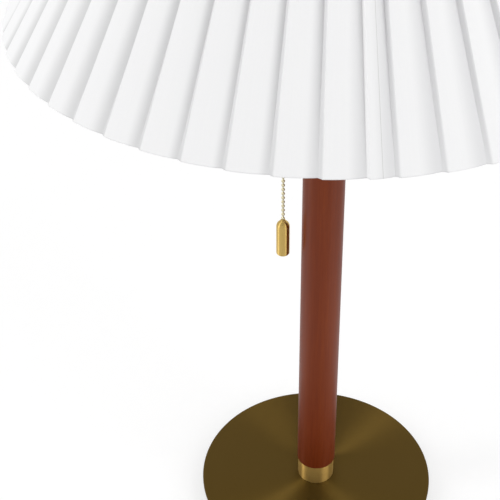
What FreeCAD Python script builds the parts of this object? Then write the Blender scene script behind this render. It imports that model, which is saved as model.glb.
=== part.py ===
import FreeCAD, Part
import math
import os

# Pleated paper table lamp: slim brass base, turned wooden column, pull-chain lampholder,
# harp, and a pleated cone shade held down by a finial.
# Millimetres, +Z up, origin at the centre of the felt's underside, front towards -Y.

# ---- driving dimensions -------------------------------------------------------------
BASE_RADIUS = 82.5
PLATE_THICKNESS = 3.0
PLATE_EDGE_ROUND = 1.2
WEIGHT_RADIUS = 75.0
WEIGHT_THICKNESS = 9.0
FELT_RADIUS = 74.0
FELT_THICKNESS = 1.5
NUT_RECESS_RADIUS = 16.0
NUT_RECESS_DEPTH = 6.0

COLLAR_RADIUS = 12.2
COLLAR_HEIGHT = 15.6
STEM_RADIUS = 13.0
STEM_LENGTH = 320.4
STEM_FOOT_ROUND = 0.8
FERRULE_HEIGHT = 8.0

PIPE_RADIUS = 5.0            # M10 x 1 lamp pipe
PIPE_BORE = 3.5
PIPE_HOLE = 5.2              # clearance hole for the pipe
STEM_BORE = 5.3

RIM_RADIUS = 176.5           # shade rim, over the crests of the pleats
RIM_ABOVE_BASE = 368.4       # from the top of the base plate
SHADE_HEIGHT = 168.0
SHADE_SLOPE = 0.65           # radius lost per millimetre of height
PAPER = 0.8
PLEATS = 56
SEAM_PLEAT_DEG = 5.4         # the narrower pleat where the paper's ends overlap
SEAM_START_DEG = 5.4         # azimuth of its left fold, from -Y towards +X
RING_WIRE_RADIUS = 1.5
RING_INSET = 3.0             # wire rings from the paper's edges

SADDLE_THICKNESS = 1.6
EAR_Y = 28.5                 # middle of each upright ear of the harp holder
HARP_WIRE_RADIUS = 1.5
HARP_SIDES = 6
NUT_THICKNESS = 3.0
NUT_ACROSS_FLATS = 14.0

SOCKET_RADIUS = 17.0         # brass shell of the lampholder
SOCKET_WALL = 0.6
SCREW_SHELL_RADIUS = 13.08   # inner radius, takes a standard 26 mm lamp cap
LAMP_CAP_RADIUS = 13.0
BULB_RADIUS = 30.0

CHAIN_X = -24.7              # the pull chain hangs left of the column
BEAD_RADIUS = 1.2
BEAD_PITCH = 3.05
LINK_RADIUS = 0.4
BEAD_SIDES = 5
PENDANT_RADIUS = 4.0
PENDANT_LENGTH = 24.0
PENDANT_FOOT_ABOVE_BASE = 202.0

STUD_RADIUS = 3.1            # threaded post for the finial
WASHER_THICKNESS = 2.0

# ---- heights worked out from them ---------------------------------------------------
weight_top = FELT_THICKNESS + WEIGHT_THICKNESS
base_top = weight_top + PLATE_THICKNESS
recess_top = FELT_THICKNESS + NUT_RECESS_DEPTH
stem_foot = base_top + COLLAR_HEIGHT
stem_top = stem_foot + STEM_LENGTH
saddle_z = stem_top + FERRULE_HEIGHT
nut_z = saddle_z + SADDLE_THICKNESS
socket_z = nut_z + NUT_THICKNESS
rim_z = base_top + RIM_ABOVE_BASE
shade_top_z = rim_z + SHADE_HEIGHT

X_AXIS = FreeCAD.Vector(1, 0, 0)
Y_AXIS = FreeCAD.Vector(0, 1, 0)
Z_AXIS = FreeCAD.Vector(0, 0, 1)
ORIGIN = FreeCAD.Vector(0, 0, 0)


# ---- ways of making a piece ---------------------------------------------------------
def at(x, y, z):
    return FreeCAD.Vector(x, y, z)


def turned(outline, axis_x=0.0):
    """Lathe work: closed outline of (radius, height) points; (mid, end) pairs are arcs."""
    edges = []
    here = outline[0]
    for step in outline[1:] + outline[:1]:
        if isinstance(step[0], tuple):
            mid, end = step
            edges.append(Part.Arc(at(here[0], 0, here[1]), at(mid[0], 0, mid[1]),
                                  at(end[0], 0, end[1])).toShape())
        else:
            end = step
            edges.append(Part.makeLine(at(here[0], 0, here[1]), at(end[0], 0, end[1])))
        here = end
    solid = Part.Face(Part.Wire(edges)).revolve(ORIGIN, Z_AXIS, 360)
    solid.translate(at(axis_x, 0, 0))
    return solid


def tube(outer, inner, foot, height):
    return turned([(inner, foot), (outer, foot), (outer, foot + height), (inner, foot + height)])


def hexagon_nut(across_flats, hole, foot, height):
    corner = across_flats / math.sqrt(3)
    points = [at(corner * math.cos(math.radians(60 * k)), corner * math.sin(math.radians(60 * k)), foot)
              for k in range(7)]
    nut = Part.Face(Part.makePolygon(points)).extrude(at(0, 0, height))
    return nut.cut(Part.makeCylinder(hole, height, at(0, 0, foot)))


def ring_of_points(radius, z, sides, x=0.0, y=0.0):
    """Corners of a regular polygon round a vertical line; radius is to its flats."""
    reach = radius / math.cos(math.pi / sides)
    turns = [2 * math.pi * (k + 0.5) / sides for k in range(sides)]
    return [at(x + reach * math.cos(turn), y + reach * math.sin(turn), z) for turn in turns]


def flat(points):
    return Part.Face(Part.makePolygon(points + points[:1]))


def strips_between(low, high):
    """One flat face for each side of two outlines whose sides run parallel."""
    count = len(low)
    return [flat([low[k], low[(k + 1) % count], high[(k + 1) % count], high[k]]) for k in range(count)]


def sewn(faces):
    shell = Part.makeShell(faces)
    shell.sewShape()
    solid = Part.Solid(shell)
    if solid.Volume < 0:
        solid.reverse()
    return solid


def stacked(rings):
    """Solid through a stack of parallel polygons, closed at both ends."""
    faces = [flat(rings[0]), flat(rings[-1])]
    for low, high in zip(rings, rings[1:]):
        faces += strips_between(low, high)
    return sewn(faces)


def rod(start, end, radius, sides):
    """Straight wire of polygon section between two points."""
    along = end - start
    wire = flat(ring_of_points(radius, 0, sides)).extrude(at(0, 0, along.Length))
    wire.Placement = FreeCAD.Placement(start, FreeCAD.Rotation(Z_AXIS, along))
    return wire


def save(node, shape):
    shape.exportStep("parts/" + node + ".step")


os.makedirs("parts", exist_ok=True)


# ---- base ---------------------------------------------------------------------------
def base_plate():
    """Brass plate with a rounded upper edge."""
    return turned([
        (PIPE_HOLE, weight_top),
        (BASE_RADIUS, weight_top),
        (BASE_RADIUS, base_top - PLATE_EDGE_ROUND),
        (BASE_RADIUS - 0.3 * PLATE_EDGE_ROUND, base_top - 0.3 * PLATE_EDGE_ROUND),
        (BASE_RADIUS - PLATE_EDGE_ROUND, base_top),
        (PIPE_HOLE, base_top),
    ])


CORD_WAY_RADIUS = 4.0        # half-round cord channel cast into the weight
BUSHING_BORE = 2.6
BUSHING_LENGTH = 14.0
FLANGE_RADIUS = 4.8
FLANGE_THICKNESS = 1.2
cord_way_z = FELT_THICKNESS + CORD_WAY_RADIUS


def base_weight():
    """Cast iron ballast: recess for the pipe nut, channel for the cord to the rear."""
    disc = turned([
        (PIPE_HOLE, recess_top),
        (NUT_RECESS_RADIUS, recess_top),
        (NUT_RECESS_RADIUS, FELT_THICKNESS),
        (WEIGHT_RADIUS, FELT_THICKNESS),
        (WEIGHT_RADIUS, weight_top),
        (PIPE_HOLE, weight_top),
    ])
    start = NUT_RECESS_RADIUS - 2.0
    run = WEIGHT_RADIUS - start + 1.0
    channel = Part.makeBox(2 * CORD_WAY_RADIUS, run, CORD_WAY_RADIUS + 1.0,
                           at(-CORD_WAY_RADIUS, start, FELT_THICKNESS - 1.0))
    arch = Part.makeCylinder(CORD_WAY_RADIUS, run, at(0, start, cord_way_z), Y_AXIS)
    return disc.cut(channel.fuse(arch).removeSplitter())


def cord_bushing():
    """Flanged sleeve at the channel's rear mouth, where the mains cord would enter."""
    front = WEIGHT_RADIUS - BUSHING_LENGTH
    barrel = Part.makeCylinder(CORD_WAY_RADIUS - 0.02, BUSHING_LENGTH, at(0, front, cord_way_z), Y_AXIS)
    flange = Part.makeCylinder(FLANGE_RADIUS, FLANGE_THICKNESS, at(0, WEIGHT_RADIUS, cord_way_z), Y_AXIS)
    bore = Part.makeCylinder(BUSHING_BORE, BUSHING_LENGTH + FLANGE_THICKNESS + 2,
                             at(0, front - 1, cord_way_z), Y_AXIS)
    return barrel.fuse(flange).cut(bore)


WASHER_RADIUS = 11.0
BASE_WASHER_THICKNESS = 1.0
base_washer_z = recess_top - BASE_WASHER_THICKNESS
base_nut_z = base_washer_z - NUT_THICKNESS

save("felt_pad", Part.makeCylinder(FELT_RADIUS, FELT_THICKNESS))
save("base_weight", base_weight())
save("base_plate", base_plate())
save("cord_bushing", cord_bushing())
save("base_washer", tube(WASHER_RADIUS, PIPE_HOLE, base_washer_z, BASE_WASHER_THICKNESS))
save("base_nut", hexagon_nut(NUT_ACROSS_FLATS, PIPE_RADIUS + 0.02, base_nut_z, NUT_THICKNESS))


# ---- column -------------------------------------------------------------------------
def foot_collar():
    """Polished brass collar, a little slimmer than the column, with eased edges."""
    ease = 0.5
    return turned([
        (PIPE_HOLE, base_top),
        (COLLAR_RADIUS, base_top),
        (COLLAR_RADIUS, stem_foot - ease),
        (COLLAR_RADIUS - ease, stem_foot),
        (PIPE_HOLE, stem_foot),
    ])


def wood_stem():
    """Plain turned column, bored for the pipe, with a softened lower edge."""
    soft = STEM_FOOT_ROUND
    return turned([
        (STEM_BORE, stem_foot),
        (STEM_RADIUS - soft, stem_foot),
        (STEM_RADIUS, stem_foot + soft),
        (STEM_RADIUS, stem_top),
        (STEM_BORE, stem_top),
    ])


def top_ferrule():
    """Brass cap on the column's upper end, drawn in to the width of the pipe nut."""
    lip = 13.6
    neck = 8.5
    return turned([
        (PIPE_HOLE, stem_top),
        (lip, stem_top),
        (lip, stem_top + 2.0),
        (neck, saddle_z),
        (PIPE_HOLE, saddle_z),
    ])


pipe_foot = base_nut_z - 1.0
pipe_top = socket_z + 4.8

save("foot_collar", foot_collar())
save("wood_stem", wood_stem())
save("top_ferrule", top_ferrule())
save("threaded_tube", tube(PIPE_RADIUS, PIPE_BORE, pipe_foot, pipe_top - pipe_foot))

# ---- harp holder, sleeves, harp and its stud ----------------------------------------
SADDLE_WIDTH = 14.0
EAR_WIDTH = 4.8
EAR_SHOULDER = 6.5           # height of the wide part of each ear over the saddle's floor
EAR_HEIGHT = 16.5
SADDLE_BEND = 3.0            # outer radius of the two bends
SLEEVE_OUTER = 4.2
SLEEVE_INNER = 3.5
SLEEVE_HEIGHT = 10.0
sleeve_y = EAR_Y + 1.5
leg_y = EAR_Y + SADDLE_THICKNESS / 2 + HARP_WIRE_RADIUS / math.cos(math.pi / HARP_SIDES) + 0.01
shoulder_z = saddle_z + EAR_SHOULDER


def harp_saddle():
    """Strip steel bent to a U; the ears narrow to tabs that the harp's feet lie against."""
    outer = EAR_Y + SADDLE_THICKNESS / 2
    inner = EAR_Y - SADDLE_THICKNESS / 2

    def round_bottomed(half, foot, bend):
        block = Part.makeBox(SADDLE_WIDTH, 2 * half, EAR_HEIGHT, at(-SADDLE_WIDTH / 2, -half, foot))
        corners = [edge for edge in block.Edges
                   if edge.BoundBox.XLength > 1 and edge.BoundBox.ZMax < foot + 0.1]
        return block.makeFillet(bend, corners)

    strip = round_bottomed(outer, saddle_z, SADDLE_BEND)
    strip = strip.cut(round_bottomed(inner, saddle_z + SADDLE_THICKNESS, SADDLE_BEND - SADDLE_THICKNESS))
    for low_x in (EAR_WIDTH / 2, -EAR_WIDTH / 2 - SADDLE_WIDTH):
        strip = strip.cut(Part.makeBox(SADDLE_WIDTH, 3 * outer, EAR_HEIGHT, at(low_x, -1.5 * outer, shoulder_z)))
    return strip.cut(Part.makeCylinder(PIPE_HOLE, 4, at(0, 0, saddle_z - 1)))


LEG_TOP = 25.0               # straight part of the harp's leg over the shoulder
FLARE_DEG = 22.0
FLARE_RADIUS = 30.0
FLARE_RUN = 43.5
BOW_RADIUS = 70.0
CROWN_DEG = 68.0
CROWN_RADIUS = 12.0


def harp_side():
    """Centre line of one half of the harp as (start, mid, end) runs in (y, z)."""
    flare = math.radians(FLARE_DEG)
    crown = math.radians(CROWN_DEG)
    runs = []
    y, z = leg_y, shoulder_z - 2.0
    runs.append(((y, z), None, (y, shoulder_z + LEG_TOP)))
    y, z = runs[-1][2]

    def bend(y, z, radius, start, end):
        """Arc from heading start to heading end, measured from the vertical outwards."""
        sign = 1 if end > start else -1
        points = []
        for heading in (start, (start + end) / 2, end):
            points.append((y + sign * radius * (math.cos(start) - math.cos(heading)),
                           z + sign * radius * (math.sin(heading) - math.sin(start))))
        return tuple(points)

    runs.append(bend(y, z, FLARE_RADIUS, 0.0, flare))
    y, z = runs[-1][2]
    runs.append(((y, z), None, (y + FLARE_RUN * math.sin(flare), z + FLARE_RUN * math.cos(flare))))
    y, z = runs[-1][2]
    runs.append(bend(y, z, BOW_RADIUS, flare, -crown))
    y, z = runs[-1][2]
    runs.append(bend(y, z, CROWN_RADIUS, -crown, -math.pi / 2))
    y, z = runs[-1][2]
    runs.append(((y, z), None, (0.0, z)))
    return runs


def harp_path():
    """Both halves joined at the crown."""
    edges = []
    for start, mid, end in harp_side():
        if mid is None:
            edges.append(Part.makeLine(at(0, *start), at(0, *end)))
        else:
            edges.append(Part.Arc(at(0, *start), at(0, *mid), at(0, *end)).toShape())
    mirrored = [edge.mirror(ORIGIN, Y_AXIS) for edge in edges]
    return Part.Wire(Part.__sortEdges__(edges + mirrored))


harp_crown_z = harp_side()[-1][2][1]


def harp():
    """Spring-wire loop; its feet stand beside the tabs of the saddle."""
    path = harp_path()
    foot = path.OrderedVertexes[0].Point
    section = ring_of_points(HARP_WIRE_RADIUS, foot.z, HARP_SIDES, foot.x, foot.y)
    return path.makePipeShell([Part.makePolygon(section + section[:1])], True, False)


STUD_FLANGE_RADIUS = 8.0
STUD_BODY_RADIUS = 4.6
STUD_POST_LENGTH = 14.0
washer_z = harp_crown_z + HARP_WIRE_RADIUS + 2.5


def harp_stud(loop):
    """Brass seat clenched round the harp's crown, with a post for shade and finial."""
    body = turned([
        (0, harp_crown_z - HARP_WIRE_RADIUS - 1.5),
        (STUD_BODY_RADIUS, harp_crown_z - HARP_WIRE_RADIUS - 1.5),
        (STUD_FLANGE_RADIUS, washer_z),
        (STUD_RADIUS, washer_z),
        (STUD_RADIUS, washer_z + STUD_POST_LENGTH),
        (0, washer_z + STUD_POST_LENGTH),
    ])
    return body.cut(loop)


def harp_sleeve(side):
    """Short tube dropped over tab and harp foot; it rests on the ear's shoulder."""
    sleeve = tube(SLEEVE_OUTER, SLEEVE_INNER, shoulder_z, SLEEVE_HEIGHT)
    sleeve.translate(at(0, side * sleeve_y, 0))
    return sleeve


loop = harp()
save("harp_saddle", harp_saddle())
save("saddle_nut", hexagon_nut(NUT_ACROSS_FLATS, PIPE_RADIUS + 0.02, nut_z, NUT_THICKNESS))
save("harp", loop)
save("harp_stud", harp_stud(loop))
save("harp_sleeve_front", harp_sleeve(-1))
save("harp_sleeve_rear", harp_sleeve(1))

# ---- lampholder ---------------------------------------------------------------------
HUB_RADIUS = 7.5
HUB_HEIGHT = 5.0
DOME_HEIGHT = 6.4
SKIRT_HEIGHT = 5.0
SHELL_HEIGHT = 38.0
SHELL_FIT = 0.05
LINER_THICKNESS = 0.5
LINER_DROP = 2.0             # of its top below the shell's
SWITCH_RADIUS = 14.6
SWITCH_HEIGHT = 21.0
SPOUT_OVER_SWITCH_FOOT = 15.0
cap_inner = SOCKET_RADIUS - SOCKET_WALL
shell_outer = cap_inner - SHELL_FIT
shell_inner = shell_outer - SOCKET_WALL
liner_inner = shell_inner - LINER_THICKNESS
dome_z = socket_z + HUB_HEIGHT
skirt_z = dome_z + DOME_HEIGHT
cap_top = skirt_z + SKIRT_HEIGHT
shell_z = skirt_z + SOCKET_WALL
shell_top = shell_z + SHELL_HEIGHT
switch_z = dome_z + SOCKET_WALL
switch_top = switch_z + SWITCH_HEIGHT
spout_z = switch_z + SPOUT_OVER_SWITCH_FOOT


def socket_cap():
    """Spun brass cup with a hub that screws on the pipe."""
    return turned([
        (PIPE_RADIUS + 0.02, socket_z),
        (HUB_RADIUS, socket_z),
        (HUB_RADIUS, dome_z),
        (SOCKET_RADIUS, skirt_z),
        (SOCKET_RADIUS, cap_top),
        (cap_inner, cap_top),
        (cap_inner, shell_z),
        (shell_inner, shell_z),
        (HUB_RADIUS, switch_z),
        (PIPE_RADIUS + 0.02, switch_z),
    ])


SPOUT_RADIUS = 3.3           # of the drop; the arm from the shell is slimmer
SPOUT_BORE = 1.9
SPOUT_ARM_RADIUS = 2.8
SPOUT_CROWN = 3.6
SPOUT_DROP = 12.0
MOUTH_RADIUS = 5.0
MOUTH_LIP = 0.5
FLARE_HEIGHT = 3.5
mouth_z = spout_z - SPOUT_DROP
spout_hole = Part.makeCylinder(SPOUT_ARM_RADIUS, SOCKET_RADIUS,
                               at(-SWITCH_RADIUS - SOCKET_RADIUS, 0, spout_z), X_AXIS)


def socket_shell():
    """Brass upper shell, its foot inside the cap."""
    return tube(shell_outer, shell_inner, shell_z, SHELL_HEIGHT).cut(spout_hole)


def insulating_liner():
    """Card sleeve between the shell and the live parts."""
    foot = spout_z + SPOUT_ARM_RADIUS + 0.5
    return tube(shell_inner, liner_inner, foot, shell_top - LINER_DROP - foot)


def chain_spout():
    """Brass elbow in the shell's side; the chain drops through its bell mouth."""
    reach = -SWITCH_RADIUS - 0.1 - CHAIN_X
    crown_z = spout_z + SPOUT_CROWN
    arm = Part.makeCylinder(SPOUT_ARM_RADIUS, reach, at(CHAIN_X, 0, spout_z), X_AXIS)
    drop = turned([
        (0, mouth_z),
        (MOUTH_RADIUS, mouth_z),
        (SPOUT_RADIUS, mouth_z + FLARE_HEIGHT),
        (SPOUT_RADIUS, crown_z - 1.2),
        (SPOUT_RADIUS - 1.5, crown_z),
        (0, crown_z),
    ], CHAIN_X)
    bore = turned([
        (0, mouth_z),
        (MOUTH_RADIUS - MOUTH_LIP, mouth_z),
        (SPOUT_BORE, mouth_z + FLARE_HEIGHT - MOUTH_LIP),
        (SPOUT_BORE, crown_z - 1.0),
        (0, crown_z - 1.0),
    ], CHAIN_X)
    return arm.fuse(drop).cut(bore)


LEVER_ARM = 8.5
LEVER_WIDTH = 5.0
LEVER_THICKNESS = 2.8
PIVOT_RADIUS = 1.1
PIVOT_CLEARANCE = 0.05
LEVER_HUB_RADIUS = 2.8
PIN_LENGTH = 12.0
POCKET_MARGIN = 0.6
pivot_z = spout_z - LEVER_ARM
TERMINAL_SEAT_Y = 11.0       # flat under each terminal screw's head
TERMINAL_HEAD_RADIUS = 3.2
TERMINAL_HEAD_HEIGHT = 2.2
TERMINAL_HEAD_SIDES = 12
terminal_z = spout_z


def switch_body():
    """Moulded insulator: pocket for the pull lever, flats for the terminal screws."""
    block = turned([
        (0, switch_z),
        (HUB_RADIUS, switch_z),
        (SWITCH_RADIUS, skirt_z + SOCKET_WALL),
        (SWITCH_RADIUS, switch_top),
        (0, switch_top),
    ])
    pocket_top = spout_z + LEVER_THICKNESS
    pocket_foot = pivot_z - LEVER_HUB_RADIUS - POCKET_MARGIN
    pocket_width = LEVER_WIDTH + 2 * POCKET_MARGIN
    pocket_back = LEVER_HUB_RADIUS + POCKET_MARGIN
    pocket = Part.makeBox(SWITCH_RADIUS + pocket_back, pocket_width, pocket_top - pocket_foot,
                          at(-SWITCH_RADIUS, -pocket_width / 2, pocket_foot))
    pin_hole = Part.makeCylinder(PIVOT_RADIUS + PIVOT_CLEARANCE, PIN_LENGTH + 1,
                                 at(0, -(PIN_LENGTH + 1) / 2, pivot_z), Y_AXIS)
    block = block.cut(pocket).cut(pin_hole)
    slab = Part.makeBox(3 * SWITCH_RADIUS, 2 * TERMINAL_SEAT_Y, SWITCH_HEIGHT,
                        at(-1.5 * SWITCH_RADIUS, -TERMINAL_SEAT_Y, switch_z))
    return block.common(slab)


def terminal_screw(side):
    """Plain head of a binding screw on the switch's flat."""
    seat = at(0, side * TERMINAL_SEAT_Y, terminal_z)
    return rod(seat, seat + at(0, side * TERMINAL_HEAD_HEIGHT, 0), TERMINAL_HEAD_RADIUS, TERMINAL_HEAD_SIDES)


def switch_lever():
    """Pull lever on its cross pin, upright at rest; the chain draws its tip outwards."""
    heel = LEVER_THICKNESS
    arm = Part.makeBox(LEVER_THICKNESS, LEVER_WIDTH, LEVER_ARM + heel + LEVER_THICKNESS / 2,
                       at(-LEVER_THICKNESS / 2, -LEVER_WIDTH / 2, pivot_z - heel))
    pin = Part.makeCylinder(PIVOT_RADIUS, PIN_LENGTH, at(0, -PIN_LENGTH / 2, pivot_z), Y_AXIS)
    return arm.fuse(pin)


SCREW_SHELL_WALL = 0.4
SCREW_SHELL_HEIGHT = 22.0
CONTACT_WIDTH = 4.0
CONTACT_RISE = 2.0


def screw_shell():
    """Threaded brass sleeve that takes the lamp cap, seated on the switch."""
    return tube(SCREW_SHELL_RADIUS + SCREW_SHELL_WALL, SCREW_SHELL_RADIUS, switch_top, SCREW_SHELL_HEIGHT)


def centre_contact():
    """Springy brass leaf: a flat foot and a tongue raised towards the lamp's tip."""
    leaf = SCREW_SHELL_WALL
    outline = [(-5.5, 0), (-5.5, leaf), (-4.0, leaf), (1.5, CONTACT_RISE), (3.5, CONTACT_RISE - 0.3),
               (3.5, CONTACT_RISE - 0.3 - leaf), (1.5, CONTACT_RISE - leaf), (-3.0, 0)]
    points = [at(x, -CONTACT_WIDTH / 2, switch_top + z) for x, z in outline + outline[:1]]
    return Part.Face(Part.makePolygon(points)).extrude(at(0, CONTACT_WIDTH, 0))


save("socket_cap", socket_cap())
save("socket_shell", socket_shell())
save("insulating_liner", insulating_liner())
save("chain_spout", chain_spout())
save("switch_body", switch_body())
save("switch_lever", switch_lever())
save("terminal_screws", Part.makeCompound([terminal_screw(-1), terminal_screw(1)]))
save("screw_shell", screw_shell())
save("centre_contact", centre_contact())

# ---- bulb ---------------------------------------------------------------------------
CAP_LENGTH = 22.0
TIP_RADIUS = 4.5
TIP_HEIGHT = 1.2
GLASS_BEAD_HEIGHT = 3.0
GLASS_NECK_RADIUS = 13.4
NECK_HEIGHT = 12.0
NECK_SPREAD = 1.2
GLOBE_CENTRE = 50.0          # of the round part, over the top of the cap
GLOBE_START_DEG = -30.0
GLOBE_STEPS = 5
tip_z = switch_top + CONTACT_RISE + 0.1
bead_z = tip_z + TIP_HEIGHT
thread_z = bead_z + GLASS_BEAD_HEIGHT
glass_z = thread_z + CAP_LENGTH


def round_steps(radius, centre_z, start_deg, end_deg, steps):
    """Points of a round stretch about the axis, as a few straight cones."""
    points = []
    for k in range(steps + 1):
        angle = math.radians(start_deg + (end_deg - start_deg) * k / steps)
        points.append((max(radius * math.cos(angle), 0.0), centre_z + radius * math.sin(angle)))
    return points


def bulb_glass():
    """White-coated envelope: straight neck cemented in the cap, cone and round top."""
    globe = round_steps(BULB_RADIUS, glass_z + GLOBE_CENTRE, GLOBE_START_DEG, 90.0, GLOBE_STEPS)
    return turned([(0, glass_z), (GLASS_NECK_RADIUS, glass_z),
                   (GLASS_NECK_RADIUS + NECK_SPREAD, glass_z + NECK_HEIGHT)] + globe)


def bulb_cap():
    """Rolled-thread lamp cap, spread at the top to hold the glass."""
    return turned([
        (0, thread_z),
        (LAMP_CAP_RADIUS - 2.0, thread_z),
        (LAMP_CAP_RADIUS, thread_z + 2.0),
        (LAMP_CAP_RADIUS, glass_z),
        (0, glass_z),
    ])


def bulb_insulator():
    """Black glass bead between the cap and the centre tip."""
    return turned([(0, bead_z), (TIP_RADIUS, bead_z), (LAMP_CAP_RADIUS - 3.0, thread_z), (0, thread_z)])


save("bulb_glass", bulb_glass())
save("bulb_cap", bulb_cap())
save("bulb_insulator", bulb_insulator())
save("bulb_contact", Part.makeCylinder(TIP_RADIUS, TIP_HEIGHT, at(0, 0, tip_z)))

# ---- pull chain ---------------------------------------------------------------------
BEAD_WAIST = 0.5             # half height of a bead's widest band
BEAD_HALF = 1.15
PIVOT_GAP = 0.15             # air round the bead that the chain swings about
LEAD_BEADS = 4               # beads that wait inside the elbow
PENDANT_NECK_RADIUS = 1.6
PENDANT_NECK = 2.0
swing_z = mouth_z - BEAD_PITCH / 2
pendant_foot = base_top + PENDANT_FOOT_ABOVE_BASE
pendant_top = pendant_foot + PENDANT_LENGTH
chain_beads = round((swing_z - pendant_top - PENDANT_NECK) / BEAD_PITCH) - 1


def beads(top_z, count, head_z, foot_z):
    """A run of brass beads on links, from the highest bead's centre downwards."""
    rings = [(LINK_RADIUS, head_z)]
    for k in range(count):
        middle = top_z - k * BEAD_PITCH
        rings += [(LINK_RADIUS, middle + BEAD_HALF), (BEAD_RADIUS, middle + BEAD_WAIST),
                  (BEAD_RADIUS, middle - BEAD_WAIST), (LINK_RADIUS, middle - BEAD_HALF)]
    rings.append((LINK_RADIUS, foot_z))
    return stacked([ring_of_points(radius, z, BEAD_SIDES, CHAIN_X) for radius, z in rings])


def pull_pendant():
    """Turned brass weight: small neck, rounded shoulder, straight body, eased foot."""
    ease = 0.6
    shoulder = round_steps(PENDANT_RADIUS, 0.0, 0.0, 66.0, 2)
    outline = [(0, pendant_foot), (PENDANT_RADIUS - ease, pendant_foot), (PENDANT_RADIUS, pendant_foot + ease)]
    outline += [(r, pendant_top - PENDANT_RADIUS + z) for r, z in shoulder]
    outline += [(PENDANT_NECK_RADIUS, pendant_top + PENDANT_NECK), (0, pendant_top + PENDANT_NECK)]
    return turned(outline, CHAIN_X)


lead_low = mouth_z + BEAD_PITCH / 2
lead_top = lead_low + (LEAD_BEADS - 1) * BEAD_PITCH
chain_top = swing_z - BEAD_PITCH
bead_edge = math.hypot(BEAD_RADIUS, BEAD_WAIST) + PIVOT_GAP

save("chain_lead", beads(lead_top, LEAD_BEADS, lead_top + BEAD_HALF + 0.2, swing_z + bead_edge))
save("chain_knuckle", beads(swing_z, 1, swing_z + BEAD_HALF + 0.01, swing_z - BEAD_HALF - 0.01))
save("ball_chain", beads(chain_top, chain_beads, swing_z - bead_edge, pendant_top + PENDANT_NECK))
save("pull_pendant", pull_pendant())

# ---- pleated shade ------------------------------------------------------------------
# Each pleat is five strips of paper: a steep left flank, two strips of the broad outer
# face, a steep right flank and the floor of the valley. A strip keeps its heading from
# rim to top, so it is flat, and only its width changes.
STRIP_HEADINGS = (62.0, 5.0, -14.0, -60.0, 0.0)
FACE_SPLIT = 0.48            # share of the outer face left of its crest
RIM_DEPTH = 3.4
RIM_FLANK = 3.5
RIM_FLOOR = 5.1
TOP_DEPTH = 4.6
TOP_FLANK = 5.2
TOP_FLOOR = 0.4
top_radius = RIM_RADIUS - SHADE_SLOPE * SHADE_HEIGHT


def strip_widths(chord, flank, floor):
    """Widths of a pleat's strips that close it over the chord between two valleys."""
    up, rise, fall, down, level = [math.radians(a) for a in STRIP_HEADINGS]
    run = FACE_SPLIT * math.cos(rise) + (1 - FACE_SPLIT) * math.cos(fall)
    lift = FACE_SPLIT * math.sin(rise) + (1 - FACE_SPLIT) * math.sin(fall)
    per_drop = 1 / math.tan(-down)
    free = chord - floor - flank * (math.cos(up) + math.sin(up) * per_drop)
    face = free / (run + lift * per_drop)
    right = (flank * math.sin(up) + face * lift) / math.sin(-down)
    return (flank, face * FACE_SPLIT, face * (1 - FACE_SPLIT), right, floor)


def pleat_outline(crest_radius, depth, flank, floor, z):
    """Corner points once round the shade; azimuths run from -Y towards +X."""
    valley = crest_radius - depth
    spans = [SEAM_PLEAT_DEG] + [(360.0 - SEAM_PLEAT_DEG) / (PLEATS - 1)] * (PLEATS - 1)
    points = []
    azimuth = math.radians(SEAM_START_DEG)
    for span in [math.radians(degrees) for degrees in spans]:
        middle = azimuth + span / 2
        x = valley * math.sin(azimuth)
        y = -valley * math.cos(azimuth)
        for heading, width in zip(STRIP_HEADINGS, strip_widths(2 * valley * math.sin(span / 2), flank, floor)):
            points.append(at(x, y, z))
            turn = math.radians(heading)
            along = width * math.cos(turn)
            out = width * math.sin(turn)
            x += along * math.cos(middle) + out * math.sin(middle)
            y += along * math.sin(middle) - out * math.cos(middle)
        azimuth += span
    return points


def shrunk(points, radius):
    """The same outline drawn in towards the axis by the paper's thickness."""
    scale = 1 - PAPER / radius
    return [at(p.x * scale, p.y * scale, p.z) for p in points]


def pleated_shade():
    """Closed paper wall: flat strips inside and out, and a cut edge at rim and top."""
    rim_out = pleat_outline(RIM_RADIUS, RIM_DEPTH, RIM_FLANK, RIM_FLOOR, rim_z)
    top_out = pleat_outline(top_radius, TOP_DEPTH, TOP_FLANK, TOP_FLOOR, shade_top_z)
    rim_in = shrunk(rim_out, RIM_RADIUS)
    top_in = shrunk(top_out, top_radius)
    faces = strips_between(rim_out, top_out) + strips_between(rim_in, top_in)
    for outer, inner in ((rim_out, rim_in), (top_out, top_in)):
        faces.append(Part.Face([Part.makePolygon(outer + outer[:1]), Part.makePolygon(inner + inner[:1])]))
    return sewn(faces), rim_in, top_in


def least_radius(points):
    """Distance from the axis to the nearest side of a closed outline."""
    nearest = []
    for start, end in zip(points, points[1:] + points[:1]):
        middle = (start + end) * 0.5
        nearest.append(min(math.hypot(start.x, start.y), math.hypot(middle.x, middle.y)))
    return min(nearest)


def wire_ring(radius, z):
    """Wire ring of square section, one flat against the slope of the paper."""
    reach = RING_WIRE_RADIUS * math.sqrt(2)
    turns = [math.atan(SHADE_SLOPE) + math.pi * (k + 0.5) / 2 for k in range(4)]
    return turned([(radius + reach * math.cos(turn), z + reach * math.sin(turn)) for turn in turns])


SPIDER_ARMS = 3
RING_FIT = 0.02
ARM_SIDES = 6
ARM_RADIUS = 1.3
ARM_START = 13.0
WASHER_OUTER = 16.0
WASHER_HOLE = STUD_RADIUS + 0.1
top_ring_z = shade_top_z - RING_INSET
bottom_ring_z = rim_z + RING_INSET

shade, rim_inside, top_inside = pleated_shade()
rim_least = least_radius(rim_inside)
top_least = least_radius(top_inside)


def ring_radius(z):
    """Centre radius of a ring that bears on the folds at this height."""
    share = (z - rim_z) / SHADE_HEIGHT
    fold = rim_least + (top_least - rim_least) * share
    return fold - RING_WIRE_RADIUS / math.cos(math.atan(SHADE_SLOPE)) - RING_FIT


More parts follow.
